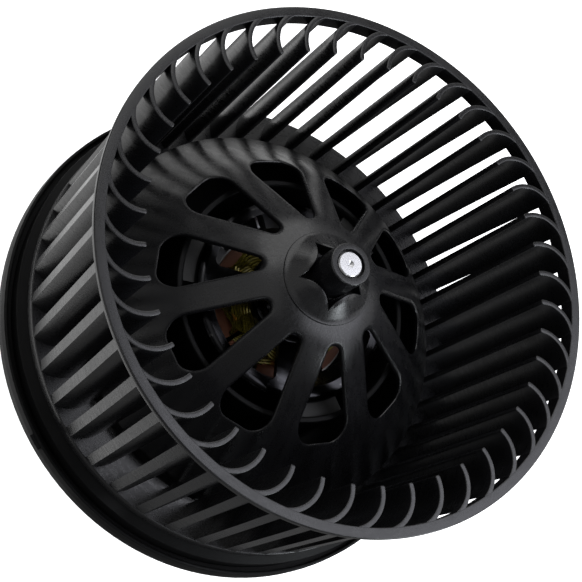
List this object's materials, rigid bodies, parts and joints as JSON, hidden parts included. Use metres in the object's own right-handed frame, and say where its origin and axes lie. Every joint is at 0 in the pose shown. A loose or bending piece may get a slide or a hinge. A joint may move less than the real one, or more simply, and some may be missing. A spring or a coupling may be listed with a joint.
{
  "type": "blower motor wheel",
  "caption": "Black plastic centrifugal blower wheel pressed on the shaft of a brushed motor in a round mounting flange, moving cabin or room air.",
  "frame": {"origin": "on the motor shaft's axis, in the plane of the underside of the mounting flange's rim", "axes": "+Z along the shaft, out of the wheel's open inlet end; +X towards the power connector; +Y completes the right-handed frame"},
  "size_m": [0.162, 0.163, 0.1185],
  "materials": {
    "wheel_plastic": "moulded satin black with fine swirl marks",
    "housing_plastic": "moulded black, fine texture",
    "connector_plastic": "moulded black, satin",
    "zinc_plated_steel": "dull zinc plating",
    "screw_steel": "zinc plated",
    "shaft_steel": "ground steel",
    "lamination_steel": "stacked electrical steel",
    "fibre_board": "vulcanised fibre",
    "enamelled_copper": "enamelled copper wire",
    "copper": "bare copper",
    "phenolic": "moulded phenolic",
    "natural_nylon": "natural nylon",
    "ferrite": "ground dark grey ceramic",
    "spring_steel": "bright spring steel",
    "sintered_bronze": "oiled sintered bronze",
    "felt": "oil-soaked felt",
    "brass": "pressed brass",
    "carbon": "graphite",
    "capacitor_coating": "dipped coating",
    "tinned_brass": "tinned",
    "red_insulation": "wire insulation",
    "black_insulation": "wire insulation",
    "isolator_rubber": "moulded rubber"
  },
  "bodies": {
    "root": {"motor_housing": "housing_plastic", "end_cap": "housing_plastic", "end_cap_screws": "screw_steel", "motor_case": "zinc_plated_steel", "field_magnets": "ferrite", "magnet_springs": "spring_steel", "upper_bearing": "sintered_bronze", "lower_bearing": "sintered_bronze", "upper_felt_washer": "felt", "lower_felt_washer": "felt", "upper_bearing_retainer": "spring_steel", "lower_bearing_retainer": "spring_steel", "end_bracket": "zinc_plated_steel", "bracket_screws": "screw_steel", "brush_card": "phenolic", "brush_guides": "brass", "brush_spring_right": "spring_steel", "brush_spring_left": "spring_steel", "brush_pigtail_right": "copper", "brush_pigtail_left": "copper", "choke_cores": "ferrite", "choke_coils": "enamelled_copper", "suppression_capacitor": "capacitor_coating", "power_connector": "connector_plastic", "connector_terminals": "tinned_brass", "positive_lead": "red_insulation", "negative_lead": "black_insulation", "side_isolators": "isolator_rubber", "lower_isolator": "isolator_rubber"},
    "rotor": {"blower_wheel": "wheel_plastic", "motor_shaft": "shaft_steel", "armature_core": "lamination_steel", "armature_insulators": "fibre_board", "armature_windings": "enamelled_copper", "commutator_hub": "phenolic", "commutator_bars": "copper", "upper_spacer": "natural_nylon", "upper_thrust_washer": "fibre_board", "lower_thrust_washer": "fibre_board"},
    "right_brush": {"brush_right": "carbon"},
    "left_brush": {"brush_left": "carbon"}
  },
  "joints": [
    {"name": "rotor_spin", "type": "hinge", "parent": "root", "child": "rotor", "pos_m": [0, 0, 0], "axis": [0, 0, 1], "continuous": true},
    {"name": "brush_right_slide", "type": "slide", "parent": "root", "child": "right_brush", "axis": [1, 0, 0], "range_m": [0, 0.004], "stiffness_N_per_m": 120, "springref_m": -0.012, "deforming": ["brush_spring_right", "brush_pigtail_right"]},
    {"name": "brush_left_slide", "type": "slide", "parent": "root", "child": "left_brush", "axis": [-1, 0, 0], "range_m": [0, 0.004], "stiffness_N_per_m": 120, "springref_m": -0.012, "deforming": ["brush_spring_left", "brush_pigtail_left"]}
  ]
}
